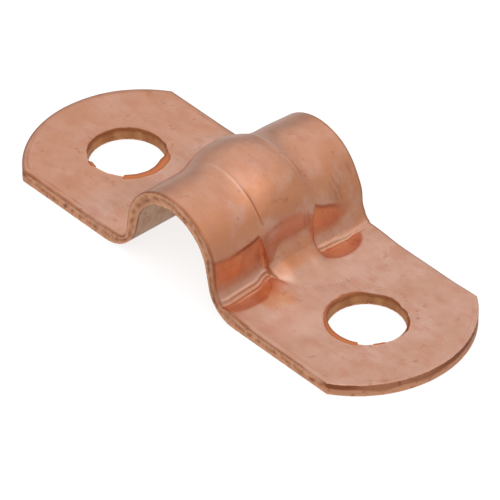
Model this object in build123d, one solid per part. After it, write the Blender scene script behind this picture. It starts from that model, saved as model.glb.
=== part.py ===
from build123d import *
import os
from math import cos, radians, sin, tan

# Two-hole tube strap stamped from one strip of copper sheet.
# X runs along the strip, Y along the tube, Z up from the wall that the feet lie on.
# Driving dimensions are in millimetres and degrees.

# Tube that the strap holds
tube_diameter = 6.35
tube_clearance = 0.125

# Strip that the strap is blanked from
sheet_thickness = 0.9
strip_width = 12.7
strap_length = 35.5
end_radius = 7.65
corner_radius = 0.3
edge_roll = 0.18

# Screw holes, pierced from below, so each one breaks out wider at the top
hole_pitch = 22.8
hole_diameter = 5.1
breakout_diameter = 5.35
hole_land = 0.35

# Hump over the tube, measured inside, with walls that lean out to the feet
crown_height = 5.85
wall_lean = 9.0
heel_radius = 1.75

# Panels coined into the walls beside the rib, which fade out before a plain band at each edge
panel_turn = 67.5
panel_lean = 5.0
panel_corner = 0.3
edge_lean = 7.0
edge_corner = 0.5
edge_band = 0.6

# Rib pressed up over the crown: a rounded bead between two creases, with a skirt outside each
rib_width = 4.2
rib_height = 0.9
rib_crest = 0.32
crease_height = 0.26
skirt_width = 1.3
rib_fade = ((18, 1.0), (36, 0.97), (52, 0.74), (64, 0.4), (75, 0.1), (85, -0.1))

# Gusset below each end of the rib, where the middle of the wall keeps its full bend
gusset_width = 3.45
gusset_flank = 40.0
gusset_radius = 1.5

# Small overlap that makes crossing skins meet cleanly
lap = 0.02

# Sizes that follow
saddle_radius = tube_diameter / 2 + tube_clearance
saddle_axis_height = crown_height - saddle_radius
outer_radius = saddle_radius + sheet_thickness
half_width = strip_width / 2
arc_centre = strap_length / 2 - end_radius
foot_level = sheet_thickness - lap / 2
flank_depth = 0.8 * sheet_thickness
inner_shift = sheet_thickness * tan(radians(gusset_flank / 2))
saddle_axis = Axis((0, 0, saddle_axis_height), (0, 1, 0))


def hump_face(radius, turn, lean, bend_radius, level, reach):
    """All that lies below one skin of the hump: an arc, leaning walls, bends and feet."""
    shoulder_x = radius * sin(radians(turn))
    shoulder_z = saddle_axis_height + radius * cos(radians(turn))
    heel_x = shoulder_x + (shoulder_z - level) * tan(radians(lean))
    toe_x = heel_x + reach
    base = level - 2 * sheet_thickness
    wall = ((shoulder_x, shoulder_z), (heel_x, level), (toe_x, level))
    right = FilletPolyline(*wall, radius=bend_radius)
    left = mirror(right, Plane.YZ)
    crown_top = (0, saddle_axis_height + radius)
    crown = ThreePointArc((-shoulder_x, shoulder_z), crown_top, (shoulder_x, shoulder_z))
    under = Polyline((toe_x, level), (toe_x, base), (-toe_x, base), (-toe_x, level))
    return make_face([*crown.edges(), *right.edges(), *left.edges(), *under.edges()])


def plate():
    """The flat strip with its two rounded ends, its top edge rolled over by the blanking die."""
    corner = arc_centre + (end_radius**2 - half_width**2) ** 0.5
    tip = strap_length / 2
    right = ThreePointArc((corner, -half_width), (tip, 0), (corner, half_width))
    back = Line((corner, half_width), (-corner, half_width))
    left = ThreePointArc((-corner, half_width), (-tip, 0), (-corner, -half_width))
    front = Line((-corner, -half_width), (corner, -half_width))
    outline = make_face([*right.edges(), *back.edges(), *left.edges(), *front.edges()])
    body = extrude(outline, amount=sheet_thickness)
    body = fillet(body.edges().filter_by(Axis.Z), corner_radius)
    return fillet(body.edges().group_by(Axis.Z)[-1], edge_roll)


def hump():
    """The hump with its coined panels, deepest beside the rib, and its edges rolled over like the strip's."""
    reach = 2 * edge_corner
    panel = hump_face(outer_radius, panel_turn, panel_lean, panel_corner, foot_level, reach)
    edge = hump_face(outer_radius, 90 - edge_lean, edge_lean, edge_corner, foot_level, reach)
    inner = gusset_width / 2
    outer = half_width - edge_band
    body = extrude(Plane.XZ * panel, amount=inner, both=True)
    for side in (-1, 1):
        start = Plane.XZ.offset(side * inner) * panel
        end = Plane.XZ.offset(side * outer) * edge
        body += loft([start, end], ruled=True)
        body += extrude(end, amount=edge_band, dir=(0, -side, 0))
    return fillet(body.edges().filter_by(is_rim), edge_roll)


def is_rim(edge):
    """True for an edge of the hump's top skin along the strip's side."""
    along_side = abs(abs(edge.center().Y) - half_width) < lap
    return along_side and edge.center().Z > foot_level - lap


def gusset(radius, bend_radius, level, half):
    """The middle of both walls with a full bend to the foot, proud of the panels, with sloping flanks."""
    run = flank_depth / tan(radians(gusset_flank))
    reach = 3 * bend_radius
    turn = 90 - wall_lean
    core_face = hump_face(radius, turn, wall_lean, bend_radius, level, reach)
    toe_face = hump_face(
        radius - flank_depth, turn, wall_lean, bend_radius + flank_depth, level - flank_depth, reach
    )
    body = extrude(Plane.XZ * core_face, amount=half, both=True)
    for side in (-1, 1):
        core = Plane.XZ.offset(side * half) * core_face
        toe = Plane.XZ.offset(side * (half + run)) * toe_face
        body += loft([core, toe], ruled=True)
    return body


def rib_section(radius, half, angle, share):
    """The rib's section on a skin of this radius, at its share of full height, turned to its place."""
    base = saddle_axis_height + radius
    crease = base + crease_height * share
    # A cubic curve rises to three quarters of the way to its control points
    control = crease + (rib_height - crease_height) * share / 0.75
    inner = half * rib_crest
    outer = half + skirt_width
    sink = sheet_thickness / 2
    bead = Bezier((-half, crease), (-inner, control), (inner, control), (half, crease))
    right = Bezier((half, crease), (half + skirt_width / 2, base + lap), (outer, base - lap))
    left = mirror(right, Plane.YZ)
    skirt = Polyline((outer, base - lap), (outer, base - sink), (-outer, base - sink), (-outer, base - lap))
    section = Plane.YZ * make_face([*bead.edges(), *right.edges(), *left.edges(), *skirt.edges()])
    return section.rotate(saddle_axis, angle)


def rib(radius, half):
    """The rib over the crown, which runs out into the gusset on each side."""
    right = [rib_section(radius, half, angle, share) for angle, share in rib_fade]
    left = [mirror(section, Plane.YZ) for section in reversed(right)]
    return loft(left + [rib_section(radius, half, 0, 1)] + right)


def screw_hole():
    """A pierced hole: a straight land below and a wider, torn breakout above."""
    upward = (Align.CENTER, Align.CENTER, Align.MIN)
    breakout = Cone(hole_diameter / 2, breakout_diameter / 2, sheet_thickness - hole_land, align=upward)
    return Cylinder(hole_diameter / 2, 4 * sheet_thickness) + Pos(0, 0, hole_land) * breakout


def strap():
    """The strip between its top skin and its under skin, humped, ribbed and pierced."""
    gusset_half = gusset_width / 2
    rib_half = rib_width / 2
    under_face = hump_face(saddle_radius, 90 - wall_lean, wall_lean, heel_radius, 0, strap_length)
    body = plate() + hump()
    body += gusset(outer_radius + lap, gusset_radius, foot_level, gusset_half)
    body += rib(outer_radius, rib_half)
    body -= extrude(Plane.XZ * under_face, amount=strip_width, both=True)
    body -= gusset(saddle_radius + lap, gusset_radius + sheet_thickness, -lap / 2, gusset_half - inner_shift)
    body -= rib(saddle_radius, rib_half - inner_shift)
    for side in (-1, 1):
        body -= Pos(side * hole_pitch / 2, 0, 0) * screw_hole()
    return body


os.makedirs("parts", exist_ok=True)
export_step(strap(), "parts/pipe_strap.step")
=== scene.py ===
from math import cos, pi, radians, sin, tan

import bmesh
import bpy
import numpy as np
from mathutils import Matrix, Vector


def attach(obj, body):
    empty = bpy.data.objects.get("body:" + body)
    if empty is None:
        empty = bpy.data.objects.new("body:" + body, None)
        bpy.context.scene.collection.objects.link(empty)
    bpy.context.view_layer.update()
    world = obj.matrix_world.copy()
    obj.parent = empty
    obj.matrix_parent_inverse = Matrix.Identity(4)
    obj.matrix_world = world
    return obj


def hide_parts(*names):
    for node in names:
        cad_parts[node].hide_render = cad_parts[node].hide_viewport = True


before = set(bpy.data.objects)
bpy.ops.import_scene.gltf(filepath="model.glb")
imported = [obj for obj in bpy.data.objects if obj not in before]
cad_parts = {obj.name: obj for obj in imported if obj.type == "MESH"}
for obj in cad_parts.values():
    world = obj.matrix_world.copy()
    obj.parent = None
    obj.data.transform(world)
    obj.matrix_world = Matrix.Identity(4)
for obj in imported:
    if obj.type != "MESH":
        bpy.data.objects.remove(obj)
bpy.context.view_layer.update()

# Two-hole tube strap stamped from copper sheet, measured in millimetres and written to the mesh in metres.
# X runs along the strip, Y along the tube, Z up from the surface that the feet lie on.
# Names that end in AT hold where a change starts and ends, or, with four places, where something starts,
# is full, begins to fade and ends. Those in TURNS hold the same as turn angles: degrees from the hump's
# crown, growing down the right wall to the right foot. Those in PEAK hold a hill's centre and width, those
# in WAVES hold the size of the features and the seed of a smooth noise, and those in REACH hold how far
# along the normals a skin is looked for.
MM = 0.001
NODE = "pipe_strap"

# Strip
SHEET = 0.9
HALF_WIDTH = 6.35
END_RADIUS = 7.645
ARC_CENTRE = 10.1
CORNERS = {(-1, -1): 0.3, (-1, 1): 0.14, (1, -1): 0.14, (1, 1): 0.3}
# Top edge that the blanking die rolled over, and what it loses at the right end and on the hump
ROLL_WIDTH = 0.34
ROLL_DEPTH = 0.15
ROLL_END_LOSS = 0.8
ROLL_END_AT = (12.0, 14.5)
ROLL_HUMP_LOSS = 0.6
ROLL_HUMP_AT = (4.6, 7.0)
# Slight waviness of the pressed sheet
DENT_DEPTH = 0.012
DENT_WAVES = (5.0, 3)
FINE_DENT_DEPTH = 0.003
FINE_DENT_WAVES = (1.3, 4)

# Sheared faces: the torn band, in shares of the depth, and how far it is torn
TORN_AT = (0.36, 0.56, 0.9, 1.0)
TORN_LEAST = 0.015
TORN_MORE = 0.03
TORN_WAVES = (0.5, 21)
# Dark band on the ends' faces, darker at the near corner and with painted shade at the far side, with a
# wandering lower edge
END_FACE_AT = (13.6, 14.4)
END_BAND = 0.8
END_FAR_SHADE = 0.7
END_FAR_SHADE_AT = (-3.0, 4.0)
END_BAND_CORNER = 0.4
END_BAND_LOSS = 0.75
END_BAND_AT = (0.46, 0.64)
NEAR_CORNER_AT = (-5.6, -4.4)
BAND_SHIFT = 0.12
BAND_WANDER = 0.1
BAND_WANDER_WAVES = (1.6, 22)
# Dark marks on the side faces: specks round one depth, the top edge, and patches along the hump
SPECK_PEAK = (0.62, 0.25)
SPECK_WAVES = (0.4, 23)
TOP_SHADE = 0.5
TOP_SHADE_PEAK = (0.0, 0.08)
HEEL_SHADE = 0.4
HEEL_SHADE_PEAK = (3.9, 0.45)
LEFT_SHADE = 0.35
LEFT_SHADE_PEAK = (-2.5, 1.3)
LEFT_SHADE_AT = (0.1, 0.4)
RIGHT_SHADE = 0.35
RIGHT_SHADE_PEAK = (2.6, 1.0)
RIGHT_DEPTH_PEAK = (0.0, 0.12)

# Brown line where the rolled edge begins: strength on the left foot, and what the rest loses of it
LINE_SHARE = 0.55
LINE_LOSS = 0.35
LINE_LOSS_AT = (-9.0, -7.0)
LINE_PEAK = (0.36, 0.06)
LINE_FEET_AT = (7.0, 8.0)
LINE_WEAR = 0.6
LINE_WEAR_MORE = 0.5
LINE_WEAR_LEAST = 0.2
LINE_WEAR_WAVES = (2.2, 52)
LINE_WANDER = 0.03
LINE_WANDER_WAVES = (1.1, 53)
# The right foot's edges are less worn, and the right end's not at all
WEAR_LOSS = 0.1
WEAR_LOSS_AT = (6.0, 8.0)
WEAR_END_AT = (12.0, 14.5)

# Screw holes
HOLE_PLACES = {-1: (-11.32, -0.16), 1: (11.4, -0.25)}
HOLE_RADIUS = 2.5
# Top rim, torn out unevenly: angle round the hole and radius there
RIMS = {
    -1: ((-150, 2.62), (-80, 2.54), (60, 2.6), (95, 2.52), (135, 2.56), (170, 2.56)),
    1: (
        (-145, 2.6),
        (-12, 2.64),
        (23, 2.79),
        (45, 2.68),
        (75, 2.45),
        (100, 2.55),
        (125, 2.42),
        (149, 2.63),
        (172, 2.7),
    ),
}
# Roughness of the rims, drawn apart for the two holes
RIM_ROUGH = 0.02
RIM_WAVES = (1.6, 32)
RIM_STRETCH = 9
RIM_APART = 5.0
# The plain rim slopes in by this much or more, to a radius at most this much larger than the hole's
RIM_SLOPE = 0.03
RIM_SPARE = 0.06
# Torn lips at the rims: angles where each starts and ends, how fast it does, radius of its root and tip
LIPS = {
    -1: ((-48.0, 3.0, 56.0, 26.0, 2.9, 2.22), (-112.0, 4.0, -96.0, 2.0, 2.7, 2.36)),
    1: ((-172.0, 90.0, -55.0, 2.0, 2.8, 2.27), (-36.0, 3.0, -11.0, 9.0, 2.7, 2.42)),
}
# Section of a lip: share of the way from root to tip, drop there on a lip, drop there on the plain rim
LIP_SECTION = (
    (0.0, 0.0, 0.0),
    (0.1, 0.06, 0.02),
    (0.3, 0.0, 0.05),
    (0.6, 0.02, 0.09),
    (0.85, 0.08, 0.13),
    (1.0, 0.17, 0.17),
)
# Where the tip bends into the wall, and the lip's colour: along its section, and as a line on the plain rim
LIP_DROP = LIP_SECTION[-1][1]
LIP_BLEND = 0.15
LIP_AT = (0.0, 0.3)
LIP_TIP_LOSS = 0.6
LIP_TIP_AT = (0.6, 1.0)
RIM_LINE = 0.7
RIM_LINE_PEAK = (0.0, 0.06)
# Burr that stands up round the rims
BURR_HEIGHT = 0.03
BURR_PEAK = (0.0, 0.05)
BURR_EVEN = 0.6
BURR_MORE = 0.4
BURR_WAVES = (0.9, 33)
# Torn wall of a hole: heights below the lip, roughness, and how dark it is
PIERCED_HEIGHTS = (0.66, 0.55, 0.42, 0.28, 0.14, 0.0)
PIERCED_ROUGH = 0.02
PIERCED_ROUGH_AT = (0.0, 0.2)
PIERCED_ROUGH_RISE = 0.6
PIERCED_WAVES = (0.9, 41)
PIERCED_STRETCH = 8
PIERCED_SHADE = 0.3
PIERCED_SHADE_RISE = 0.3
PIERCED_SHADE_WAVES = (2.2, 42)
PIERCED_TOP_SHADE = 0.5
PIERCED_TOP_AT = (0.5, 0.7)
RIM_SHADE = 0.95
LIP_SHADE = 0.9

# Hump
OUTER_RADIUS = 4.2
INNER_RADIUS = OUTER_RADIUS - SHEET
AXIS_HEIGHT = 2.55
WALL_LEAN = 9.0
WALL_TURN = 90.0 - WALL_LEAN
WALL_END_TURN = 86.0
FOOT_TURN = 110.0
UNDER_LEAN = 12.0
BEND_RADIUS = 1.5
HEEL_RADII = {-1: 2.4, 1: 1.75}
HEEL_LINE = 7.2

# Spacing of the mesh's points: stops, each with the spacing up to it, then single spacings
ACROSS_STOPS = (
    (0.0, 0),
    (1.4, 0.15),
    (1.9, 0.08),
    (2.25, 0.035),
    (2.7, 0.07),
    (5.85, 0.17),
    (6.15, 0.06),
    (HALF_WIDTH, 0.03),
)
CROWN_STOPS = ((0.0, 0), (58.0, 2.1), (76.0, 1.2), (WALL_TURN, 1.6))
BEND_STOPS = ((WALL_LEAN, 0), (26.0, 2.9), (58.0, 1.45), (90.0, 3.2))
WALL_SPACING = 0.11
FOOT_SPACING = 0.13
SIDE_SPACING = 0.15
CORNER_SPACING = 0.2
TIP_SPACING = 0.02
# Rings of points round a foot: distances from the hole's rim and from the outline, and steps between them
RIM_RINGS = np.array([0.0, 0.03, 0.07, 0.13, 0.22, 0.35])
EDGE_RINGS = np.array([0.5, 0.4, 0.32, 0.24, 0.17, 0.11, 0.06, 0.02, 0.0])
MIDDLE_STEPS = 7
# Rings down a sheared face, in shares of its depth
SHEAR_DEPTHS = (0.0, 0.06, 0.16, 0.28, 0.4, 0.52, 0.66, 0.8, 0.92, 1.0)

# Coined panels: across the strip, the turn angle where each starts and how its face leans
PANEL_ACROSS = (-HALF_WIDTH, -5.5, -4.9, -3.7, -2.5, -1.5, 1.5, 2.1, 3.35, 5.0, HALF_WIDTH)
PANEL_TURN = (69.5, 71.5, 72.3, 70.5, 69.0, 68.0, 68.0, 69.8, 73.5, 82.5, 88.0)
PANEL_LEAN = (3.8, 2.4, 1.4, 1.0, 0.8, 0.8, 2.0, 2.0, 2.0, 2.0, 2.0)
# Each panel sweeps out below to a corner, with a fine ridge along either side of it
PANEL_SWEEP = 2.4
PANEL_SINK = 0.75
PANEL_BLEND = 0.04
PANEL_REACH = (-1.3, 1.2)
EDGE_BAND = 0.4
RIDGE_HEIGHT = 0.06
RIDGE_WIDTH = 0.085
RIDGE_ABOVE = 0.25
RIDGE_BESIDE = 0.2
RIDGE_LOWER = 0.9
RIDGE_LIMIT = 1.0
# The left panels run out before the strip's edges
LEFT_RUN_OUT = 0.8
LEFT_RUN_OUT_AT = (4.9, 5.9)
ABOVE_FOOT = SHEET + 0.001

# Slight rise of the feet to the bends, less at the strip's sides and in its middle
RISES = {-1: 0.2, 1: 0.3}
RISE_ENDS = {-1: 9.5, 1: 8.0}
RISE_TOP = 5.2
RISE_SIDE_LOSS = 0.5
RISE_SIDE_AT = (4.3, HALF_WIDTH)
RISE_MIDDLE_LOSS = 0.7
RISE_MIDDLE_AT = (0.3, 1.5)
# Half-moons where the panels' punch pressed the right foot flat: centre and reach
MOONS = (((4.5, -4.5), (1.2, 1.6)), ((4.55, 3.28), (1.28, 1.45)))
MOON_PRESS = 0.8
MOON_AT = (0.7, 1.35)
# Painted reflection of the wall above in each half-moon: strength, and size as a share of the pressed one
MOON_REFLECTIONS = ((0.2, 1.0), (0.45, 0.85))
MOON_REFLECTION_AT = (0.8, 1.1)
# The deeper orange and the painted reflections start past this place along the strip
DEEPER_ORANGE_FROM = 4.6
# Patch of deeper colour on the right foot: centre and reach, then how burnished and how orange it is
BLUSH = ((6.05, -3.1), (2.1, 1.6))
BLUSH_BURNISH = 0.5
BLUSH_BURNISH_AT = (0.1, 0.8)
BLUSH_WARMTH = 0.9
BLUSH_WARMTH_AT = (0.5, 1.0)
BLUSH_TURNS = (98, 104)
# Paler patches beside it: centre and reach
PALES = (((8.7, -3.5), (2.0, 2.6)), ((5.6, -2.0), (0.9, 0.8)))
PALE_SHARE = 0.4
PALE_AT = (0.3, 1.1)

# Rib, a little lower down the left wall
RIB_HALF = 2.1
RIB_HEIGHT = 0.89
RIB_CREST = 0.32
CREASE_HEIGHT = 0.26
SKIRT_WIDTH = 1.3
# Share of the rib's height that is left, by turn angle to either side
FADE_ANGLES = (0, 18, 36, 52, 64, 75, 88)
FADE_SHARES = (1.0, 1.0, 0.98, 0.82, 0.52, 0.2, 0.0)
RIB_LEFT_LOSS = 0.15
RIB_LEFT_TURNS = (5, 36)
# Tool marks along the rib: a near ridge with a groove beside its lower end, and a far ridge that drifts out
CREASE_DEPTH = 0.035
CREASE_TURNS = (-22, -8)
GROOVE_PEAK = (-2.06, 0.045)
GROOVE_TURNS = (15, 30)
NEAR_RIDGE = -2.14
NEAR_RIDGE_HEIGHT = 1.3
NEAR_RIDGE_WIDTH = 0.09
NEAR_RIDGE_NARROWS = 0.04
NEAR_RIDGE_TURNS = (54, 64)
FAR_RIDGE = 1.55
FAR_RIDGE_HEIGHT = 1.4
FAR_RIDGE_WIDTH = 0.13
FAR_RIDGE_TURNS = (30, 44)
FAR_DRIFT = 0.35
FAR_DRIFT_TURNS = (0, 35)

# Gussets, where the middle of each wall keeps a fuller bend to the foot
GUSSET_FLANK = 66.0
GUSSET_LEAN = 14.0
GUSSET_SWEEP = 2.2
GUSSET_AT = (0.8, 2.4)
EDGE_SWEEP = 0.6
BEND_REACH = (-0.3, 1.0)
# Half of a gusset's width on the near side and the far side, by height, and the rounding of its edges
NEAR_FLANK = ((0.9, 1.3, 1.8, 2.35, 3.45, 4.1), (1.85, 1.93, 2.05, 2.05, 2.25, 2.45))
FAR_FLANK = ((0.9, 1.6, 2.35, 3.5, 4.1), (1.6, 1.6, 1.7, 1.85, 2.1))
FLANK_ROUNDING = ((0.9, 1.8, 3.0), (0.25, 0.2, 0.1))
# Hollow below them; the gaps keep its blend from lifting the skin over the crown and on the feet
UNDER_HALF = 1.4
UNDER_FLANK = 40.0
UNDER_RIB_HALF = 1.77
UNDER_REACH = (-1.0, 0.4)
UNDER_BLEND = 0.05
UNDER_CROWN_GAP = 0.2
UNDER_CROWN_TURNS = (56, 64)
UNDER_FOOT_GAP = 0.06
UNDER_FOOT_TURNS = (100, 108)

# Far edge of the hump, which the press drew in a little: turn angle, and how far in the middle of DRAWN_AT
DRAWN_ANGLES = (-180, -60, 0, 30, 60, 70, 81, 100, 109, 180)
DRAWN_IN = (0.0, 0.06, 0.12, 0.15, 0.24, 0.24, 0.19, 0.13, 0.0, 0.0)
DRAWN_AT = (3.6, 7.4)
DRAWN_DOWN_TURNS = (62, 86)

# Painted highlights along the creases, on the ridges and on the gusset's front
HIGHLIGHT_SHARE = 0.4
NEAR_HIGHLIGHT_PEAK = (-2.2, 0.05)
NEAR_HIGHLIGHT_TURNS = (-20, -8, 28, 42)
FAR_HIGHLIGHT = 1.7
FAR_HIGHLIGHT_WIDTH = 0.14
FAR_HIGHLIGHT_TURNS = (-15, 0, 25, 40)
RIDGE_HIGHLIGHT = 0.2
RIDGE_HIGHLIGHT_AT = (2.0, 2.4)
FRONT_HIGHLIGHT = 0.35
FRONT_HIGHLIGHT_AT = (1.5, 2.2)
FRONT_HIGHLIGHT_PEAK = (71, 7)

# Dark lines at the tops of the panels, down the gussets' flanks and along the near crease
PRESSED_FROM = 60
TOP_LINE_PEAK = (0.03, 0.035)
TOP_LINE_AT = (0.0, 0.1, 1.3, 2.9)
TOP_LINE_FAR = 0.5
TOP_LINE_FROM = 2.5
FLANK_LINE = 0.8
FLANK_LINE_PEAK = (0.08, 0.07)
FLANK_LINE_AT = (1.0, 1.6)
FLANK_DEPTH_AT = (0.04, 0.12)
FLANK_FOOT_PEAK = (1.2, 0.25)
CREASE_LINE = 0.8
CREASE_LINE_PEAK = (-2.08, 0.04)
CREASE_LINE_TURNS = (22, 36, 54, 62)
# Dark streaks down the right wall: place across, turn angles where each starts and ends, strength
STREAKS = (
    (1.1, 66, 84, 0.3),
    (1.45, 64, 82, 0.35),
    (3.55, 60, 74, 0.3),
    (3.8, 54, 76, 0.4),
    (4.02, 62, 78, 0.5),
    (4.2, 50, 66, 0.4),
    (4.4, 58, 78, 0.5),
    (4.65, 52, 64, 0.35),
    (5.75, 46, 62, 0.45),
)
STREAK_FADE = 5
STREAK_WIDTH = 0.11

# Deeper orange on the coined panels, partly painted reflection of the foot: strength low down, and what is
# added higher up on the near and far side
COINED_LOW = 0.2
COINED_NEAR = 0.6
COINED_FAR = 0.8
COINED_DEPTH_AT = (0.02, 0.1)
COINED_FROM_AT = (1.6, 2.2)
COINED_HIGH_AT = (2.5, 3.4)

# How orange the skin is along the turn angle, and what places on it lose or gain
WARM_ANGLES = (-60, -35, -15, 0, 20, 35, 52, 62, 72, 86, 95, 102, 109)
WARM_SHARES = (0.25, 0.2, 0.35, 0.42, 0.5, 0.75, 0.85, 0.75, 0.5, 0.5, 0.5, 0.25, 0.0)
FAR_HALF_LOSS = 0.15
FAR_HALF_AT = (1.0, 4.0)
NEAR_BEND_LOSS = 0.8
NEAR_BEND_AT = (2.0, 2.6)
NEAR_BEND_TURNS = (84, 90, 97, 101)
FAR_WALL_WARMTH = 0.35
FAR_WALL_AT = (3.8, 5.0)
FAR_WALL_TURNS = (58, 68, 90, 104)
FAR_CROWN_WARMTH = 0.3
FAR_CROWN_AT = (3.5, 5.0)
FAR_CROWN_PEAK = (-6, 9)
FAR_PANEL_WARMTH = 0.35
FAR_PANEL_PEAK = (3.6, 1.4)
FAR_PANEL_TURNS = (70, 76, 86, 92)
GUSSET_WARMTH = 0.4
GUSSET_WARMTH_AT = (-2.0, -1.0, 1.5, 2.2)
GUSSET_WARMTH_TURNS = (80, 86, 98, 106)
LEFT_FOOT_WARMTH = 0.37
LEFT_FOOT_AT = (8.3, 10.0)

# Named values on the mesh's points, which the copper reads
MARKS = ("edge", "cut", "band", "lip", "warm", "coined", "pale_and_highlight", "line", "under")
SHEARED_MARK = 1.0
PIERCED_MARK = 2.0
# Working values of the mesh
HALVINGS = 34
RIB_SAMPLES = 400
WAVE_COUNT = 14
WAVE_RANGE = (0.7, 1.9)
WAVE_LEVEL = 1.2
LEAST_POWER = 5.0
LEAST_DEPTH = 1e-4
MERGE_DISTANCE = 0.0005
SHARP_ANGLE = 38


def spread(*stops):
    """Values that run through the stops; each stop is a value and the spacing up to it."""
    values = [stops[0][0]]
    for (start, _), (end, gap) in zip(stops, stops[1:]):
        count = max(1, round((end - start) / gap))
        values.extend(start + (end - start) * (k + 1) / count for k in range(count))
    return np.array(values)


def step(low, high, value):
    """A smooth step from 0 at low to 1 at high."""
    share = np.clip((value - low) / (high - low), 0.0, 1.0)
    return share * share * (3.0 - 2.0 * share)


def between(start, full, fading, end, value):
    """A smooth rise from 0 to 1 and a smooth fall back to 0."""
    return step(start, full, value) * (1 - step(fading, end, value))


def hill(centre, width, value):
    """A smooth hill of height 1."""
    return np.exp(-(((value - centre) / width) ** 2))


def soft_max(a, b, blend):
    """The greater of two, rounded where they cross."""
    return np.maximum(a, b) + np.maximum(blend - np.abs(a - b), 0.0) ** 2 / (4.0 * blend)


def least(a, b):
    """The lesser of two depths, rounded where they cross and nothing where either is nothing."""
    a = np.maximum(a, LEAST_DEPTH)
    b = np.maximum(b, LEAST_DEPTH)
    return (a ** -LEAST_POWER + b ** -LEAST_POWER) ** (-1 / LEAST_POWER)


def spot(x, y, centre, reach):
    """Distance from the centre of an oval, where its outline is at 1."""
    return np.hypot((x - centre[0]) / reach[0], (y - centre[1]) / reach[1])


def waves(x, y, z, size, seed):
    """Smooth seeded noise from a sum of sines, about -1 to 1, with features of this size."""
    rng = np.random.default_rng(seed)
    total = np.zeros_like(np.asarray(x, float) + y + z)
    for _ in range(WAVE_COUNT):
        direction = rng.normal(size=3)
        direction /= np.linalg.norm(direction)
        pitch = 2 * pi / (size * rng.uniform(*WAVE_RANGE))
        phase = rng.uniform(0, 2 * pi)
        total += np.sin(pitch * (direction[0] * x + direction[1] * y + direction[2] * z) + phase)
    return total / WAVE_COUNT ** 0.5 / WAVE_LEVEL


def profile():
    """The middle of the strip's top skin from the left foot to the right: points, normals and turn angle."""
    lean = radians(WALL_LEAN)
    turns = np.radians(spread(*CROWN_STOPS))
    crown = [(OUTER_RADIUS * sin(t), AXIS_HEIGHT + OUTER_RADIUS * cos(t), sin(t), cos(t), t) for t in turns]
    shoulder_x, shoulder_z = crown[-1][:2]
    heel_x = shoulder_x + (shoulder_z - SHEET) * tan(lean)
    tangent = BEND_RADIUS * tan(radians(WALL_TURN / 2))
    wall_length = (shoulder_z - SHEET) / cos(lean) - tangent
    wall = []
    for run in spread((0.0, 0), (wall_length, WALL_SPACING))[1:]:
        turn = WALL_TURN + (WALL_END_TURN - WALL_TURN) * run / wall_length
        place = (shoulder_x + run * sin(lean), shoulder_z - run * cos(lean))
        wall.append((*place, cos(lean), sin(lean), radians(turn)))
    centre_x, centre_z = heel_x + tangent, SHEET + BEND_RADIUS
    bend = []
    for tilt in spread(*BEND_STOPS)[1:]:
        turn = WALL_END_TURN + (FOOT_TURN - WALL_END_TURN) * (tilt - WALL_LEAN) / WALL_TURN
        t = radians(tilt)
        place = (centre_x - BEND_RADIUS * cos(t), centre_z - BEND_RADIUS * sin(t))
        bend.append((*place, cos(t), sin(t), radians(turn)))
    flat = spread((centre_x, 0), (HEEL_LINE, FOOT_SPACING))[1:]
    foot_start = [(x, SHEET, 0.0, 1.0, radians(FOOT_TURN)) for x in flat]
    right = np.array(crown + wall + bend + foot_start)
    left = right[:0:-1] * np.array([-1, 1, -1, 1, -1])
    return np.vstack([left, right])


def split_path(path):
    """The profile's places, normals and turn angle, each as a column."""
    return (path[:, k : k + 1] for k in range(5))


def corner_skin(wall, foot, corner):
    """Height above a wall and a foot that meet in a rounded corner."""
    near_both = np.hypot(np.maximum(corner - wall, 0.0), np.maximum(corner - foot, 0.0))
    return np.maximum(corner, np.minimum(wall, foot)) - near_both


def wall_skin(x, z, radius, turn, lean):
    """Height above a leaning wall that leaves an arc of this radius at the turn angle."""
    lean = np.radians(lean)
    turn = np.radians(turn)
    along = (np.abs(x) - radius * np.sin(turn)) * np.cos(lean)
    return along + (z - AXIS_HEIGHT - radius * np.cos(turn)) * np.sin(lean)


def along_normals(skin, low, high):
    """How far along each normal the skin lies, found by halving."""
    shape = skin(np.array(low)).shape
    below = np.full(shape, float(low))
    above = np.full(shape, float(high))
    for _ in range(HALVINGS):
        middle = (below + above) / 2
        inside = skin(middle) < 0
        below = np.where(inside, middle, below)
        above = np.where(inside, above, middle)
    return (below + above) / 2


def rib_section(y, half):
    """Height of the rib across the strip: a bead between two creases, with a skirt outside each."""
    t = np.linspace(0.5, 1.0, RIB_SAMPLES)
    reach = half * ((t ** 3 - (1 - t) ** 3) + 3 * RIB_CREST * t * (1 - t) * (2 * t - 1))
    rise = CREASE_HEIGHT + (RIB_HEIGHT - CREASE_HEIGHT) * 4 * t * (1 - t)
    bead = np.interp(np.abs(y), reach, rise)
    share = np.clip((np.abs(y) - half) / SKIRT_WIDTH, 0.0, 1.0)
    skirt = CREASE_HEIGHT * (1 - share) ** 2
    return np.where(np.abs(y) < half, bead, skirt)


def rib_offset(turn, y, half):
    """Height of the rib along the crown, which runs out down the walls."""
    angle = np.degrees(turn)
    fade = np.interp(np.abs(angle), FADE_ANGLES, FADE_SHARES)
    fade *= 1 - RIB_LEFT_LOSS * step(*RIB_LEFT_TURNS, -angle)
    return fade * rib_section(y, half)


def rolled(edge, x):
    """Drop of the top skin where its edge is rolled over."""
    full = 1.0 - ROLL_END_LOSS * step(*ROLL_END_AT, x)
    full = full - ROLL_HUMP_LOSS * (1 - step(*ROLL_HUMP_AT, np.abs(x)))
    share = np.clip(1.0 - edge / (ROLL_WIDTH * full), 0.0, 1.0)
    return ROLL_DEPTH * full * (1.0 - np.sqrt(1.0 - share ** 2))


def edge_distance(x, y):
    """Distance from the strip's outline, seen from above."""
    side = HALF_WIDTH - np.abs(y)
    end = END_RADIUS - np.hypot(np.maximum(np.abs(x) - ARC_CENTRE, 0.0), y)
    end = np.where(np.abs(x) > ARC_CENTRE, end, side)
    return np.minimum(side, end)


def dents(x, y, z):
    """Slight waviness of the sheet, which stays about inside the nominal form."""
    fine = FINE_DENT_DEPTH * waves(x, y, z, *FINE_DENT_WAVES)
    return DENT_DEPTH * waves(x, y, z, *DENT_WAVES) + fine - DENT_DEPTH


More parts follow.
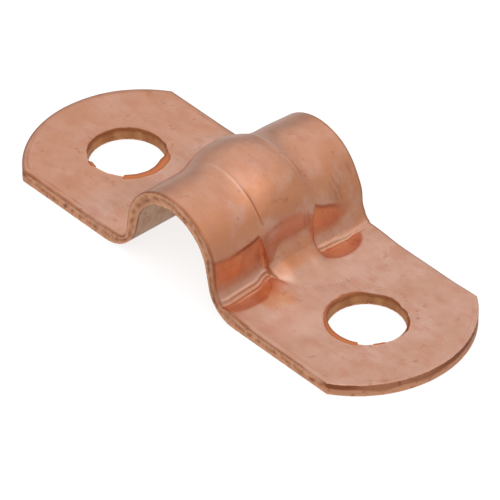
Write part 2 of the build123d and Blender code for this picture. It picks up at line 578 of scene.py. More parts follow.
def foot_rise(x, y):
    """How far a foot rises to the bend, but for the half-moons that were pressed flat."""
    left = RISES[-1] * step(RISE_ENDS[-1], RISE_TOP, -x)
    lift = np.where(x < 0, left, RISES[1] * step(RISE_ENDS[1], RISE_TOP, x))
    lift = lift * (1 - RISE_SIDE_LOSS * step(*RISE_SIDE_AT, np.abs(y)))
    lift = lift * (1 - RISE_MIDDLE_LOSS * (1 - step(*RISE_MIDDLE_AT, np.abs(y))))
    for moon in MOONS:
        lift = lift * (1 - MOON_PRESS * (1 - step(*MOON_AT, spot(x, y, *moon))))
    return lift


def panel_plane(path, y):
    """How far the coined panels, swept out to the feet, lie from the nominal skin."""
    px, pz, nx, nz, _ = split_path(path)
    turn = np.interp(y, PANEL_ACROSS, PANEL_TURN)
    lean = np.interp(y, PANEL_ACROSS, PANEL_LEAN)
    level = SHEET - PANEL_SINK

    def skin(d):
        x = px + nx * d
        z = pz + nz * d
        swept = corner_skin(wall_skin(x, z, OUTER_RADIUS, turn, lean), z - level, PANEL_SWEEP)
        return -soft_max(-swept, SHEET + foot_rise(x, y) - z, PANEL_BLEND)

    return along_normals(skin, *PANEL_REACH)


def panel_ridges(path, y, offset):
    """The two fine ridges that the coining left along the corner of each panel and the foot."""
    px, pz, nx, nz, _ = split_path(path)
    turn = np.radians(np.interp(y, PANEL_ACROSS, PANEL_TURN))
    lean = np.radians(np.interp(y, PANEL_ACROSS, PANEL_LEAN))
    lift = foot_rise(px + nx * offset, y) * (y < 0)
    x = np.abs(px + nx * offset)
    rise = pz + nz * offset - SHEET - lift
    shoulder = AXIS_HEIGHT + OUTER_RADIUS * np.cos(turn) - (SHEET - PANEL_SINK)
    base = OUTER_RADIUS * np.sin(turn) + shoulder * np.tan(lean)
    corner = base + PANEL_SWEEP - (PANEL_SWEEP ** 2 - (PANEL_SWEEP - PANEL_SINK - lift) ** 2) ** 0.5
    place = np.where(x > corner, corner - x, rise)
    ridges = hill(RIDGE_ABOVE, RIDGE_WIDTH, place) + RIDGE_LOWER * hill(-RIDGE_BESIDE, RIDGE_WIDTH, place)
    inner = 1 - step(HALF_WIDTH - EDGE_BAND, HALF_WIDTH, np.abs(y))
    return ridges * (rise < RIDGE_LIMIT) * inner


def panel_offset(path, y):
    """The coined panels with their ridges, and the share of a ridge at each place."""
    px, pz = path[:, 0:1], path[:, 1:2]
    offset = panel_plane(path, y)
    ridges = panel_ridges(path, y, offset)
    run_out = LEFT_RUN_OUT * step(*LEFT_RUN_OUT_AT, np.abs(y)) * (px < 0) * (pz > ABOVE_FOOT)
    return offset + RIDGE_HEIGHT * ridges + run_out, ridges


def bend_offset(path, y):
    """The walls' bend to the feet, which is fuller in the gussets."""
    px, pz, nx, nz, turn = split_path(path)
    full = 1 - step(*GUSSET_AT, np.abs(y))
    lean = WALL_LEAN + (GUSSET_LEAN - WALL_LEAN) * full
    sweep = EDGE_SWEEP + (GUSSET_SWEEP - EDGE_SWEEP) * full

    def skin(d):
        x = px + nx * d
        z = pz + nz * d
        wall = wall_skin(x, z, OUTER_RADIUS, 90.0 - lean, lean)
        return corner_skin(wall, z - SHEET - foot_rise(x, y), sweep)

    return along_normals(skin, *BEND_REACH) * (np.degrees(np.abs(turn)) > 90.0 - lean)


def far_drift(angle):
    """How far the far crease has drifted out at a turn angle."""
    return FAR_DRIFT * step(*FAR_DRIFT_TURNS, angle)


def crease_offset(turn, y):
    """Fine tool marks along both sides of the rib."""
    angle = np.degrees(turn)
    start = step(*CREASE_TURNS, angle)
    lower = step(*GROOVE_TURNS, angle)
    near = NEAR_RIDGE_HEIGHT * hill(NEAR_RIDGE, NEAR_RIDGE_WIDTH - NEAR_RIDGE_NARROWS * lower, y)
    near = (near - hill(*GROOVE_PEAK, y) * lower) * start * (1 - step(*NEAR_RIDGE_TURNS, angle))
    far = FAR_RIDGE_HEIGHT * hill(FAR_RIDGE + far_drift(angle), FAR_RIDGE_WIDTH, y)
    far = far * start * (1 - step(*FAR_RIDGE_TURNS, angle))
    return CREASE_DEPTH * (near + far)


def painted_highlights(angle, y, ridges):
    """Painted highlights along the creases, on the panels' ridges and on the gusset's front."""
    near = HIGHLIGHT_SHARE * hill(*NEAR_HIGHLIGHT_PEAK, y) * between(*NEAR_HIGHLIGHT_TURNS, angle)
    far = HIGHLIGHT_SHARE * hill(FAR_HIGHLIGHT + far_drift(angle), FAR_HIGHLIGHT_WIDTH, y) * between(*FAR_HIGHLIGHT_TURNS, angle)
    corners = RIDGE_HIGHLIGHT * np.clip(ridges, 0.0, 1.0) * step(*RIDGE_HIGHLIGHT_AT, np.abs(y))
    front = FRONT_HIGHLIGHT * (1 - step(*FRONT_HIGHLIGHT_AT, np.abs(y))) * hill(*FRONT_HIGHLIGHT_PEAK, angle)
    return np.maximum(np.maximum(near + far, corners), front)


def streaks(angle, y):
    """Dark streaks that run down the right wall."""
    total = 0.0
    for place, start, end, strength in STREAKS:
        along = between(start, start + STREAK_FADE, end - STREAK_FADE, end, angle)
        total = total + strength * hill(place, STREAK_WIDTH, y) * along
    return total


def press_lines(angle, y, height, beyond, room):
    """Dark lines round the coined panels and along the near crease; room is how deep a panel can be."""
    top = hill(*TOP_LINE_PEAK, room) * between(*TOP_LINE_AT, beyond)
    top = top * (1 - TOP_LINE_FAR * (y > 0)) * (height > TOP_LINE_FROM)
    at_foot = (y < 0) * (angle > 0) * hill(*FLANK_FOOT_PEAK, height)
    upper = step(*FLANK_LINE_AT, height) * step(*FLANK_DEPTH_AT, room)
    flank = FLANK_LINE * hill(*FLANK_LINE_PEAK, beyond) * np.maximum(upper, at_foot)
    crease = CREASE_LINE * hill(*CREASE_LINE_PEAK, y) * between(*CREASE_LINE_TURNS, angle)
    return np.maximum(top, flank) * (np.abs(angle) > PRESSED_FROM) + crease


def panel_tone_and_reflection(angle, y, height, depth):
    """How much deeper orange the coined panels are, partly painted reflection of the foot."""
    high = np.where(y > 0, COINED_FAR, COINED_NEAR) * step(*COINED_HIGH_AT, height)
    pressed = step(*COINED_DEPTH_AT, depth) * (np.abs(angle) > PRESSED_FROM)
    return pressed * (COINED_LOW + high) * step(*COINED_FROM_AT, height)


def top_offset(path, y):
    """How far the top skin lies from the nominal strip, and its colour marks: dark lines, deeper orange that
    is partly painted reflection, and painted highlights.
    """
    height, turn = path[:, 1:2], path[:, 4:5]
    angle = np.degrees(turn)
    form = rib_offset(turn, y, RIB_HALF) + crease_offset(turn, y) + bend_offset(path, y)
    panel, ridges = panel_offset(path, y)
    half = np.where(y < 0, np.interp(height, *NEAR_FLANK), np.interp(height, *FAR_FLANK))
    beyond = np.abs(y) - half
    rounding = np.interp(height, *FLANK_ROUNDING)
    along = np.clip(beyond, 0.0, rounding) ** 2 / (2 * rounding) + np.maximum(beyond - rounding, 0.0)
    depth = least(along * tan(radians(GUSSET_FLANK)), form - panel)
    lines = press_lines(angle, y, height, beyond, form - panel)
    marks = {
        "line": np.maximum(lines, streaks(angle, y)),
        # Deeper orange on the panels, partly painted reflection of the foot
        "coined": panel_tone_and_reflection(angle, y, height, depth),
        # Painted highlights along the creases, ridges and gusset's front
        "pale_and_highlight": painted_highlights(angle, y, ridges),
    }
    return form - depth, marks


def under_offset(path, y):
    """How far the under skin lies from the nominal one, along the same normals."""
    px, pz, nx, nz, turn = split_path(path)
    heel = np.where(px < 0, HEEL_RADII[-1], HEEL_RADII[1])

    def skin(d):
        x = px + nx * (d - SHEET)
        z = pz + nz * (d - SHEET)
        wall = wall_skin(x, z, INNER_RADIUS, 90.0 - UNDER_LEAN, UNDER_LEAN)
        arc = np.hypot(x, z - AXIS_HEIGHT) - INNER_RADIUS
        over = np.abs(np.arctan2(x, z - AXIS_HEIGHT)) < radians(90.0 - UNDER_LEAN)
        return corner_skin(np.where(over, arc, wall), z + 0 * y, heel)

    offset = along_normals(skin, *UNDER_REACH)
    flank = np.maximum(np.abs(y) - UNDER_HALF, 0.0) * tan(radians(UNDER_FLANK))
    angle = np.degrees(np.abs(turn))
    flank = flank + UNDER_CROWN_GAP * (1 - step(*UNDER_CROWN_TURNS, angle))
    flank = flank + UNDER_FOOT_GAP * step(*UNDER_FOOT_TURNS, angle)
    offset = soft_max(offset, -flank, UNDER_BLEND)
    return np.maximum(offset, rib_offset(turn, y, UNDER_RIB_HALF))


def foot_tone_and_reflection(x, y):
    """How much deeper orange the right foot is: tone in the blush, and painted reflection of the walls above
    in the half-moons.
    """
    share = BLUSH_BURNISH * (1 - step(*BLUSH_BURNISH_AT, spot(x, y, *BLUSH)))
    for moon, (strength, size) in zip(MOONS, MOON_REFLECTIONS):
        tint = strength * (1 - step(*MOON_REFLECTION_AT, spot(x, y, *moon) / size))
        share = np.maximum(share, tint)
    return share * (x > DEEPER_ORANGE_FROM)


def paleness(x, y):
    """How pale the right foot is in patches."""
    return sum(PALE_SHARE * (1 - step(*PALE_AT, spot(x, y, *pale))) for pale in PALES)


def warmth(x, y, angle):
    """How orange the skin is: most on the hump's right flank, less on its far half and on the left foot."""
    flank = np.interp(angle, WARM_ANGLES, WARM_SHARES) * (1 - FAR_HALF_LOSS * step(*FAR_HALF_AT, y))
    flank = flank * (1 - NEAR_BEND_LOSS * step(*NEAR_BEND_AT, -y) * between(*NEAR_BEND_TURNS, angle))
    wall = FAR_WALL_WARMTH * step(*FAR_WALL_AT, y) * between(*FAR_WALL_TURNS, angle)
    crown = FAR_CROWN_WARMTH * step(*FAR_CROWN_AT, y) * hill(*FAR_CROWN_PEAK, angle)
    panel = FAR_PANEL_WARMTH * hill(*FAR_PANEL_PEAK, y) * between(*FAR_PANEL_TURNS, angle)
    gusset = GUSSET_WARMTH * between(*GUSSET_WARMTH_AT, y) * between(*GUSSET_WARMTH_TURNS, angle)
    blush = BLUSH_WARMTH * (1 - step(*BLUSH_WARMTH_AT, spot(x, y, *BLUSH))) * step(*BLUSH_TURNS, angle)
    left_foot = LEFT_FOOT_WARMTH * step(*LEFT_FOOT_AT, -x)
    return flank + wall + crown + panel + gusset + blush + left_foot


def drawn_in(turn, y):
    """How far the far edge of the hump lies inside the nominal form."""
    return np.interp(np.degrees(turn), DRAWN_ANGLES, DRAWN_IN) * step(*DRAWN_AT, y) * 2


class Sheet:
    """Collects grids of points into one mesh, with named values on each point."""

    def __init__(self):
        self.points = []
        self.faces = []
        self.marks = {name: [] for name in MARKS}
        self.total = 0

    def grid(self, points, closed=False, **marks):
        """A grid of quads from an array of rows of points."""
        rows, columns = points.shape[:2]
        index = self.total + np.arange(rows * columns).reshape(rows, columns)
        after = np.roll(index, -1, axis=1) if closed else index[:, 1:]
        here = index if closed else index[:, :-1]
        quads = np.stack([here[:-1], after[:-1], after[1:], here[1:]], axis=-1)
        self.faces.append(quads.reshape(-1, 4))
        self.points.append(points.reshape(-1, 3))
        for name in MARKS:
            value = np.broadcast_to(marks.get(name, 0.0), (rows, columns))
            self.marks[name].append(value.reshape(-1))
        self.total += rows * columns

    def mesh(self, name):
        """The joined mesh in metres, with shared points merged."""
        mesh = bpy.data.meshes.new(name)
        points = np.vstack(self.points) * MM
        faces = np.vstack(self.faces)
        mesh.from_pydata(points.tolist(), [], faces.tolist())
        for mark, values in self.marks.items():
            layer = mesh.attributes.new(mark, "FLOAT", "POINT")
            layer.data.foreach_set("value", np.concatenate(values).astype(np.float32))
        work = bmesh.new()
        work.from_mesh(mesh)
        bmesh.ops.remove_doubles(work, verts=work.verts, dist=MERGE_DISTANCE * MM)
        bmesh.ops.recalc_face_normals(work, faces=work.faces)
        work.to_mesh(mesh)
        work.free()
        mesh.shade_smooth()
        mesh.set_sharp_from_angle(angle=radians(SHARP_ANGLE))
        return mesh


def shear_band(x, y, z, depth):
    """How dark a sheared face is at a depth: a band on the ends with painted shade on their far side, and
    marks on the sides.
    """
    corner = 1 - step(*NEAR_CORNER_AT, y)
    wander = depth + BAND_WANDER * waves(x, y, 0 * z, *BAND_WANDER_WAVES) + BAND_SHIFT * corner
    # Painted shade on the far side of the end faces
    at_end = END_BAND + END_FAR_SHADE * step(*END_FAR_SHADE_AT, y) + END_BAND_CORNER * corner
    at_end = at_end * (1 - END_BAND_LOSS * step(*END_BAND_AT, wander))
    specks = hill(*SPECK_PEAK, wander) * (0.5 + 0.5 * waves(x, y, z, *SPECK_WAVES))
    at_side = specks + TOP_SHADE * hill(*TOP_SHADE_PEAK, depth) + HEEL_SHADE * hill(*HEEL_SHADE_PEAK, x)
    at_side = at_side + LEFT_SHADE * hill(*LEFT_SHADE_PEAK, x) * step(*LEFT_SHADE_AT, depth)
    at_side = at_side + RIGHT_SHADE * hill(*RIGHT_SHADE_PEAK, x) * hill(*RIGHT_DEPTH_PEAK, depth)
    end = step(*END_FACE_AT, np.abs(x))
    return end * at_end + (1 - end) * np.clip(at_side, 0.0, 1.0)


def sheared(sheet, top, low, inward):
    """A sheared face from its top edge to its low edge, torn in its lower half."""
    rings = []
    bands = []
    for depth in SHEAR_DEPTHS:
        place = top + (low - top) * depth
        x, y, z = place.T
        rough = np.clip(0.5 + 0.5 * waves(x, y, z, *TORN_WAVES), 0.0, 1.0)
        torn = between(*TORN_AT, depth) * (TORN_LEAST + TORN_MORE * rough)
        rings.append(place + inward * torn[:, None])
        bands.append(shear_band(x, y, z, depth))
    sheet.grid(np.array(rings), cut=SHEARED_MARK, band=np.array(bands))


def outline(side, rows):
    """One foot's outline, from the heel line's near end round the tip and back along the heel line."""
    sides = {}
    ends = {}
    for across in (-1, 1):
        small = CORNERS[(side, across)]
        rise = HALF_WIDTH - small
        centre = ARC_CENTRE + ((END_RADIUS - small) ** 2 - rise ** 2) ** 0.5
        ends[across] = np.arctan2(rise, centre - ARC_CENTRE)
        run = [(x, HALF_WIDTH) for x in spread((HEEL_LINE, 0), (centre, SIDE_SPACING))[1:]]
        angles = spread((ends[across], 0), (pi / 2, CORNER_SPACING))[-2::-1]
        turn = [(centre + small * cos(a), rise + small * sin(a)) for a in angles]
        sides[across] = [(x, across * y) for x, y in run + turn]
    around = spread((-ends[-1], 0), (ends[1], TIP_SPACING))[1:-1]
    tip = [(ARC_CENTRE + END_RADIUS * cos(a), END_RADIUS * sin(a)) for a in around]
    heel = [(HEEL_LINE, y) for y in rows[::-1]]
    free = sides[-1] + tip + sides[1][::-1]
    points = np.array(free + heel)
    points[:, 0] *= side
    return points, len(free)


def outline_normals(ring):
    """Unit normals of a closed outline, pointing out."""
    ahead = np.roll(ring, -1, axis=0) - np.roll(ring, 1, axis=0)
    normal = np.stack([ahead[:, 1], -ahead[:, 0]], axis=1)
    normal /= np.linalg.norm(normal, axis=1)[:, None]
    facing = np.sum(normal * (ring - ring.mean(axis=0)))
    return normal if facing > 0 else -normal


def rim_at(angle, side):
    """Round a hole: how much of a torn lip there is, the radius of its root and of its tip."""
    degrees = np.degrees(angle)
    plain = np.interp(degrees, *zip(*RIMS[side]), period=360)
    around = (RIM_STRETCH * np.cos(angle), RIM_STRETCH * np.sin(angle))
    plain += RIM_ROUGH * waves(*around, RIM_APART * side, *RIM_WAVES)
    share = np.zeros_like(angle)
    root = np.zeros_like(angle)
    tip = np.zeros_like(angle)
    for start, rise, end, fall, root_radius, tip_radius in LIPS[side]:
        here = between(start, start + rise, end - fall, end, degrees)
        share += here
        root += here * root_radius
        tip += here * tip_radius
    rest = 1 - share
    return share, root + plain * rest, tip + np.minimum(plain - RIM_SLOPE, HOLE_RADIUS + RIM_SPARE) * rest


def foot_skin(rim, ring, level):
    """Points of one skin of a foot, on spokes from the hole's rim to the outline."""
    reach = np.linalg.norm(ring - rim, axis=1)[:, None]
    first = RIM_RINGS / reach
    last = 1.0 - EDGE_RINGS / reach
    middle = np.linspace(0.0, 1.0, MIDDLE_STEPS + 1)[1:-1]
    between_them = first[:, -1:] + (last[:, :1] - first[:, -1:]) * middle
    shares = np.hstack([first, between_them, last])
    plan = rim[:, None, :] + (ring - rim)[:, None, :] * shares[:, :, None]
    x, y = plan[..., 0], plan[..., 1]
    z = np.full_like(x, level)
    if level > 0:
        burr = BURR_HEIGHT * hill(*BURR_PEAK, shares * reach)
        burr = burr * (BURR_EVEN + BURR_MORE * waves(x, y, z, *BURR_WAVES))
        z += dents(x, y, z) - rolled(edge_distance(x, y), x) + burr + foot_rise(x, y)
    return np.stack([x, y, z], axis=-1)


def edge_line(edge, x, y, z):
    """Brown line where the rolled edge begins, broken by wear, and plainest on the left foot."""
    wear = LINE_WEAR + LINE_WEAR_MORE * waves(x, y, z, *LINE_WEAR_WAVES)
    share = (LINE_SHARE - LINE_LOSS * step(*LINE_LOSS_AT, x)) * np.clip(wear, LINE_WEAR_LEAST, 1.0)
    line = hill(*LINE_PEAK, edge + LINE_WANDER * waves(x, y, z, *LINE_WANDER_WAVES))
    return share * line * step(*LINE_FEET_AT, np.abs(x))


def foot_marks(skin, upper):
    """Named values on one skin of a foot, where upper is 1 on the top skin and 0 below."""
    x, y, z = np.moveaxis(skin, -1, 0)
    edge = edge_distance(x, y)
    return {
        "edge": edge + WEAR_LOSS * step(*WEAR_LOSS_AT, x) + step(*WEAR_END_AT, x),
        "line": upper * edge_line(edge, x, y, z),
        "warm": warmth(x, y, FOOT_TURN),
        # Deeper orange: tone in the blush, painted reflection in the half-moons
        "coined": foot_tone_and_reflection(x, y),
        "pale_and_highlight": paleness(x, y),
        "under": 1 - upper,
    }


def foot(sheet, side, rows):
    """One foot: both skins round the pierced hole, the hole's torn wall and the sheared outer face."""
    ring, free = outline(side, rows)
    centre = np.array(HOLE_PLACES[side])
    spoke = ring - centre
    angle = np.arctan2(spoke[:, 1], spoke[:, 0])
    unit = np.stack([np.cos(angle), np.sin(angle)], axis=1)
    share, root, tip = rim_at(angle, side)
    top = foot_skin(centre + unit * root[:, None], ring, SHEET)
    low = foot_skin(centre + unit * HOLE_RADIUS, ring, 0.0)
    for skin, upper in ((top, 1.0), (low, 0.0)):
        looped = np.vstack([skin, skin[:1]])
        sheet.grid(looped, **foot_marks(looped, upper))
    hole_wall(sheet, top[:, 0], low[:, 0], centre, angle, share, tip)
    order = np.array([len(ring) - 1, *range(free + 1)])
    inward = np.zeros((len(order), 3))
    inward[:, :2] = -outline_normals(ring)[order]
    inward[0] = (0, 1, 0)
    inward[-1] = (0, -1, 0)
    sheared(sheet, top[order, -1], low[order, -1], inward)


def hole_wall(sheet, top, low, centre, angle, share, tip):
    """The pierced wall: a rounded lip where there is one, then a torn face down to the lower rim."""
    away = top[:, :2] - centre
    root = np.linalg.norm(away, axis=1)
    away /= root[:, None]
    rings, bands, lips = [], [], []
    for out, lip_drop, plain_drop in LIP_SECTION:
        radius = root + (tip - root) * out
        drop = share * lip_drop + (1 - share) * plain_drop
        rings.append(np.column_stack([centre + away * radius[:, None], top[:, 2] - drop]))
        bands.append((1 - share) * RIM_SHADE + share * LIP_SHADE)
        body = step(*LIP_AT, out) * (1 - LIP_TIP_LOSS * step(*LIP_TIP_AT, out))
        rim_line = RIM_LINE * hill(*RIM_LINE_PEAK, np.hypot(root - radius, drop))
        lips.append(share * body + (1 - share) * rim_line)
    x, y = PIERCED_STRETCH * np.cos(angle), PIERCED_STRETCH * np.sin(angle)
    for height in PIERCED_HEIGHTS:
        torn = PIERCED_ROUGH * waves(x, y, centre[0] + PIERCED_ROUGH_RISE * height, *PIERCED_WAVES)
        blend = np.clip((SHEET - LIP_DROP - height) / LIP_BLEND, 0.0, 1.0)
        radius = tip + (HOLE_RADIUS - tip) * blend + torn * step(*PIERCED_ROUGH_AT, height)
        rings.append(np.column_stack([centre + away * radius[:, None], 0 * root + height]))
        shade = PIERCED_SHADE * (1 + waves(x, y, PIERCED_SHADE_RISE * height, *PIERCED_SHADE_WAVES))
        bands.append(np.clip(shade + PIERCED_TOP_SHADE * step(*PIERCED_TOP_AT, height), 0.0, 1.0))
        lips.append(0.0 * share)
    rings[-1][:, :2] = low[:, :2]
    sheet.grid(np.array(rings), closed=True, cut=PIERCED_MARK, band=np.array(bands), lip=np.array(lips))


def hump(sheet, rows):
    """The hump between the feet: both skins and the two sheared side faces."""
    path = profile()
    y = rows[None, :]
    px, pz, nx, nz, turn = split_path(path)
    edge = HALF_WIDTH - np.abs(y) + 0 * px
    angle = np.degrees(turn)
    pulled = drawn_in(turn, y)
    offset, marks = top_offset(path, y)
    # Deeper orange on the right foot: tone in the blush, painted reflection in the half-moons
    marks["coined"] = np.maximum(marks["coined"], foot_tone_and_reflection(px, y))
    # Pale patches on the right foot join the painted highlights
    marks["pale_and_highlight"] = np.maximum(marks["pale_and_highlight"], paleness(px, y))
    lift = offset + dents(px, y, pz) - rolled(edge, px)
    drop = under_offset(path, y) - SHEET
    upright = nz * (1 - step(*DRAWN_DOWN_TURNS, np.abs(angle)))
    skins = []
    for shift in (lift, drop):
        x = px + nx * (shift - pulled)
        z = pz + nz * shift - upright * pulled
        skins.append(np.stack([x, y + 0 * px, z], axis=-1))
    top, low = skins
    marks["line"] = np.maximum(marks["line"], edge_line(edge, *np.moveaxis(top, -1, 0)))
    sheet.grid(top, edge=edge, warm=warmth(px, y, angle), **marks)
    sheet.grid(low, edge=edge, under=1.0)
    for column, inward in ((0, 1.0), (-1, -1.0)):
        direction = np.zeros((len(path), 3))
        direction[:, 1] = inward
        sheared(sheet, top[:, column], low[:, column], direction)


def strap_mesh():
    """The whole strap as one closed mesh."""
    half = spread(*ACROSS_STOPS)
    rows = np.concatenate([-half[:0:-1], half])
    sheet = Sheet()
    hump(sheet, rows)
    for side in (-1, 1):
        foot(sheet, side, rows)
    return sheet.mesh("strap")


def put(tree, kind, inputs, **settings):
    """A node with its settings made and its inputs set or linked."""
    made = tree.nodes.new(kind)
    for name, value in settings.items():
        setattr(made, name, value)
    for key, value in inputs.items():
        socket = made.inputs[key]
        if isinstance(value, bpy.types.NodeSocket):
            tree.links.new(value, socket)
        else:
            socket.default_value = value
    return made


def mark(tree, name):
    """A named value from the mesh."""
    return put(tree, "ShaderNodeAttribute", {}, attribute_name=name).outputs["Fac"]


def noise(tree, place, scale, detail):
    """Soft noise, with scale in features per millimetre."""
    made = put(tree, "ShaderNodeTexNoise", {"Vector": place, "Scale": scale, "Detail": detail})
    return made.outputs["Fac"]


def ramp(tree, value, low, high, first, last):
    """A smooth change from first to last as the value goes from low to high."""
    inputs = {"Value": value, "From Min": low, "From Max": high, "To Min": first, "To Max": last}
    return put(tree, "ShaderNodeMapRange", inputs, interpolation_type="SMOOTHSTEP").outputs["Result"]


def mix(tree, share, a, b):
    """Two colours mixed by a share."""
    return put(tree, "ShaderNodeMix", {0: share, 6: a, 7: b}, data_type="RGBA").outputs[2]


def layered(tree, colour, layers):
    """A colour with others laid over it, each by its share."""
    for share, over in layers:
        colour = mix(tree, share, colour, over)
    return colour


def maths(tree, operation, a, b):
    """Two values put together by a maths operation."""
    return put(tree, "ShaderNodeMath", {0: a, 1: b}, operation=operation).outputs[0]


def times(tree, a, b):
    """The product of two values."""
    return maths(tree, "MULTIPLY", a, b)


def stretched(tree, place, scale):
    """Coordinates stretched along some axes."""
    return put(tree, "ShaderNodeVectorMath", {0: place, 1: scale}, operation="MULTIPLY").outputs[0]


# Colours of the copper
PINK = (0.78, 0.465, 0.365, 1.0)
TAN = (0.7, 0.38, 0.265, 1.0)
ORANGE = (0.71, 0.28, 0.13, 1.0)
# Deeper orange: tone on the right foot, and painted reflection on the panels and half-moons
TONE_AND_REFLECTION = (0.93, 0.49, 0.28, 1.0)
# Pale patches and painted highlights
PALE_AND_HIGHLIGHT = (1.0, 0.68, 0.55, 1.0)
# Under skin: dull copper made paler, as painted light inside the arch
UNDER_DULL_AND_LIT = (1.0, 0.68, 0.47, 1.0)
STAIN = (0.66, 0.29, 0.185, 1.0)
BROWN = (0.42, 0.14, 0.06, 1.0)
DARK = (0.3, 0.11, 0.05, 1.0)
SHEARED = (1.0, 0.54, 0.33, 1.0)
TORN = (0.8, 0.4, 0.185, 1.0)
LIP = (0.74, 0.24, 0.1, 1.0)

# Noises in the copper: features per millimetre and detail, and how two of them are stretched along the axes
MOTTLE_NOISE = (0.55, 5.0)
STREAK_NOISE = (1.6, 4.0)
GRAIN_NOISE = (6.0, 3.0)
FLECK_NOISE = (1.5, 4.0)
SPOT_NOISE = (2.6, 3.0)
BLOTCH_NOISE = (0.8, 4.0)
PATCH_NOISE = (0.9, 6.0)
STREAK_STRETCH = (0.12, 2.2, 2.2)
PATCH_STRETCH = (0.8, 1.3, 0.8)

# Shares of the colours: the value where each change starts and ends, and the share before and after it
TAN_RAMP = (0.3, 0.7, 0.0, 1.0)
STREAK_RAMP = (0.35, 0.75, 0.0, 0.45)
BLOTCH_RAMP = (0.45, 0.68, 0.0, 0.6)
PATCH_RAMP = (0.46, 0.68, 0.0, 0.5)
FLECK_RAMP = (0.6, 0.75, 0.0, 0.5)
FLECK_GRAIN_RAMP = (0.4, 0.6, 0.0, 1.0)
GRAIN_RAMP = (0.5, 0.75, 0.0, 0.3)
RIM_RAMP = (0.05, 0.26, 0.85, 0.0)
RIM_MOTTLE_RAMP = (0.3, 0.6, 0.5, 1.0)
SPOT_RAMP = (0.55, 0.75, 0.0, 0.55)
BAND_SHARE = 0.85
BAND_RAMP = (1.0, 1.5, 0.0, 0.7)
PIERCED_RAMP = (1.2, 1.8, 0.0, 1.0)
CUT_RAMP = (0.2, 0.9, 0.0, 1.0)
# Roughness by the mottle, and what a cut face adds to it
ROUGH_RAMP = (0.25, 0.75, 0.25, 0.33)
CUT_ROUGH_RAMP = (0.2, 0.9, 0.0, 0.2)


def skin_colour(tree, place, mottle):
    """Colour of the skins: mottled and streaked, deeper orange that is partly painted reflection, a pale
    under skin that is partly painted light, pale patches, painted highlights, dark lines and worn edges.
    """
    streak = noise(tree, stretched(tree, place, STREAK_STRETCH), *STREAK_NOISE)
    grain = noise(tree, place, *GRAIN_NOISE)
    fleck = noise(tree, place, *FLECK_NOISE)
    blotch = noise(tree, place, *BLOTCH_NOISE)
    patch = noise(tree, stretched(tree, place, PATCH_STRETCH), *PATCH_NOISE)
    warm = mark(tree, "warm")
    flecks = times(tree, ramp(tree, fleck, *FLECK_RAMP), ramp(tree, grain, *FLECK_GRAIN_RAMP))
    worn = ramp(tree, mark(tree, "edge"), *RIM_RAMP)
    layers = (
        (ramp(tree, streak, *STREAK_RAMP), TAN),
        (warm, ORANGE),
        (times(tree, warm, ramp(tree, blotch, *BLOTCH_RAMP)), PINK),
        # Deeper orange: tone on the right foot, and painted reflection on the panels and half-moons
        (mark(tree, "coined"), TONE_AND_REFLECTION),
        # Under skin, made paler as painted light inside the arch
        (mark(tree, "under"), UNDER_DULL_AND_LIT),
        (ramp(tree, patch, *PATCH_RAMP), STAIN),
        (flecks, BROWN),
        (ramp(tree, grain, *GRAIN_RAMP), STAIN),
        # Pale patches, and painted highlights along the creases, ridges and gusset's front
        (mark(tree, "pale_and_highlight"), PALE_AND_HIGHLIGHT),
        (mark(tree, "line"), BROWN),
        (times(tree, worn, ramp(tree, mottle, *RIM_MOTTLE_RAMP)), BROWN),
    )
    return layered(tree, mix(tree, ramp(tree, mottle, *TAN_RAMP), PINK, TAN), layers)


def cut_colour(tree, place, cut):
    """Colour of the sheared faces and the pierced walls, with dark bands that hold painted shade on the ends'
    far side, spots and the holes' lips.
    """
    spots = noise(tree, place, *SPOT_NOISE)
    band = mark(tree, "band")
    layers = (
        (times(tree, band, BAND_SHARE), BROWN),
        (ramp(tree, band, *BAND_RAMP), DARK),
        (ramp(tree, spots, *SPOT_RAMP), DARK),
        (mark(tree, "lip"), LIP),
    )
    return layered(tree, mix(tree, ramp(tree, cut, *PIERCED_RAMP), SHEARED, TORN), layers)


def copper():
    """Bare copper with mottled skins and sheared edges."""
    material = bpy.data.materials.new("copper")
    material.use_nodes = True
    tree = material.node_tree
    shader = tree.nodes["Principled BSDF"]
    at = put(tree, "ShaderNodeTexCoord", {}).outputs["Object"]
    place = put(tree, "ShaderNodeVectorMath", {0: at, "Scale": 1 / MM}, operation="SCALE").outputs[0]
    mottle = noise(tree, place, *MOTTLE_NOISE)
    cut = mark(tree, "cut")
    skin = skin_colour(tree, place, mottle)
    face = cut_colour(tree, place, cut)
    tree.links.new(mix(tree, ramp(tree, cut, *CUT_RAMP), skin, face), shader.inputs["Base Color"])
    rough = maths(tree, "ADD", ramp(tree, mottle, *ROUGH_RAMP), ramp(tree, cut, *CUT_ROUGH_RAMP))
    tree.links.new(rough, shader.inputs["Roughness"])
    shader.inputs["Metallic"].default_value = 1.0
    return material


# Camera, from the photograph's view of the strap
CAMERA_TURN = radians(48.048)
CAMERA_RISE = radians(38.334)
CAMERA_DISTANCE = 393.5
CAMERA_LENS = 448.8
CAMERA_SENSOR = 36.0
CAMERA_FAR = 10000.0
AIM_RIGHT = 0.192
AIM_DOWN = 0.4345


def camera():
    """The camera at the photograph's viewing angle."""
    level = cos(CAMERA_RISE)
    ahead = Vector((-sin(CAMERA_TURN) * level, cos(CAMERA_TURN) * level, -sin(CAMERA_RISE)))
    right = ahead.cross(Vector((0, 0, 1))).normalized()
    down = ahead.cross(right)
    aim = right * AIM_RIGHT + down * AIM_DOWN
    place = (aim - ahead * CAMERA_DISTANCE) * MM
    data = bpy.data.cameras.new("camera")
    data.lens = CAMERA_LENS
    data.sensor_width = CAMERA_SENSOR
    data.clip_end = CAMERA_FAR * MM
    eye = bpy.data.objects.new("camera", data)
    turn = Matrix((right, -down, -ahead)).transposed()
    eye.matrix_world = Matrix.Translation(place) @ turn.to_4x4()
    bpy.context.scene.collection.objects.link(eye)
    bpy.context.scene.camera = eye


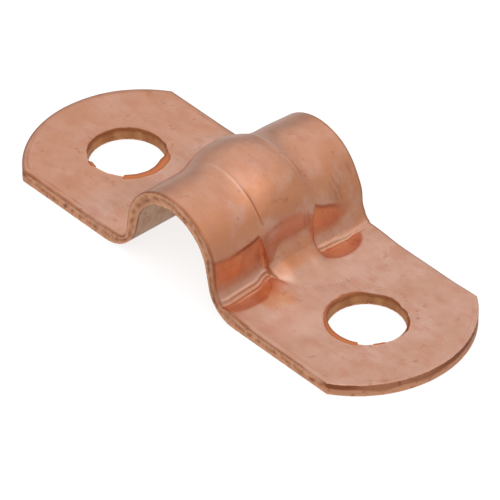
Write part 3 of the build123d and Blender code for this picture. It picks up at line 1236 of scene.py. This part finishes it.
# Floor, a little below the feet
FLOOR_SIZE = 2000.0
FLOOR_DROP = 0.02
FLOOR_COLOUR = (0.4, 0.4, 0.4, 1.0)
FLOOR_ROUGHNESS = 0.9
FLOOR_GLOW = 0.78
GLOSSY_SHARE = 0.29
WHITE = (1.0, 1.0, 1.0, 1.0)


def floor_glow(tree):
    """Glow of the floor for rays from the camera and refracted ones, and a share of it for reflected ones."""
    path = put(tree, "ShaderNodeLightPath", {})
    direct = maths(tree, "MAXIMUM", path.outputs["Is Camera Ray"], path.outputs["Is Transmission Ray"])
    glossy = times(tree, path.outputs["Is Glossy Ray"], GLOSSY_SHARE)
    return times(tree, maths(tree, "MAXIMUM", direct, glossy), FLOOR_GLOW)


def floor():
    """A plain white floor, which keeps the strap's shadow."""
    mesh = bpy.data.meshes.new("floor")
    size = FLOOR_SIZE * MM
    corners = [(-size, -size, 0), (size, -size, 0), (size, size, 0), (-size, size, 0)]
    mesh.from_pydata(corners, [], [(0, 1, 2, 3)])
    plane = bpy.data.objects.new("floor", mesh)
    plane.location.z = -FLOOR_DROP * MM
    material = bpy.data.materials.new("floor")
    material.use_nodes = True
    tree = material.node_tree
    shader = tree.nodes["Principled BSDF"]
    shader.inputs["Base Color"].default_value = FLOOR_COLOUR
    shader.inputs["Roughness"].default_value = FLOOR_ROUGHNESS
    shader.inputs["Emission Color"].default_value = WHITE
    tree.links.new(floor_glow(tree), shader.inputs["Emission Strength"])
    mesh.materials.append(material)
    bpy.context.scene.collection.objects.link(plane)


# Soft light: direction to each source, how nearly a ray faces it where its light changes, and the light there
TOP_FROM = (-0.1, 0.2, 0.97)
TOP_RAMP = (0.3, 0.9, 0.63, 0.86)
FRONT_FROM = (0.25, -0.48, 0.84)
FRONT_RAMP = (0.65, 0.98, 0.0, 0.3)
BACK_FROM = (-0.85, 0.52, 0.0)
BACK_RAMP = (0.8, 1.0, 0.0, -0.15)


def light_from(tree, way, source, change):
    """Light that changes as a ray's way comes to face the source."""
    facing = put(tree, "ShaderNodeVectorMath", {0: way, 1: source}, operation="DOT_PRODUCT")
    return ramp(tree, facing.outputs["Value"], *change)


def studio():
    """Soft light all round, stronger from above and from the front, and dimmer low behind."""
    world = bpy.data.worlds.new("studio")
    bpy.context.scene.world = world
    world.use_nodes = True
    tree = world.node_tree
    way = put(tree, "ShaderNodeTexCoord", {}).outputs["Generated"]
    light = light_from(tree, way, TOP_FROM, TOP_RAMP)
    for source, change in ((FRONT_FROM, FRONT_RAMP), (BACK_FROM, BACK_RAMP)):
        light = maths(tree, "ADD", light, light_from(tree, way, source, change))
    background = tree.nodes["Background"]
    tree.links.new(light, background.inputs["Strength"])
    background.inputs["Color"].default_value = WHITE


strap = bpy.data.objects.new("strap", strap_mesh())
bpy.context.scene.collection.objects.link(strap)
strap.data.materials.append(copper())
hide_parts(NODE)
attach(strap, "root")

floor()
studio()
camera()
bpy.context.scene.view_settings.view_transform = "Standard"
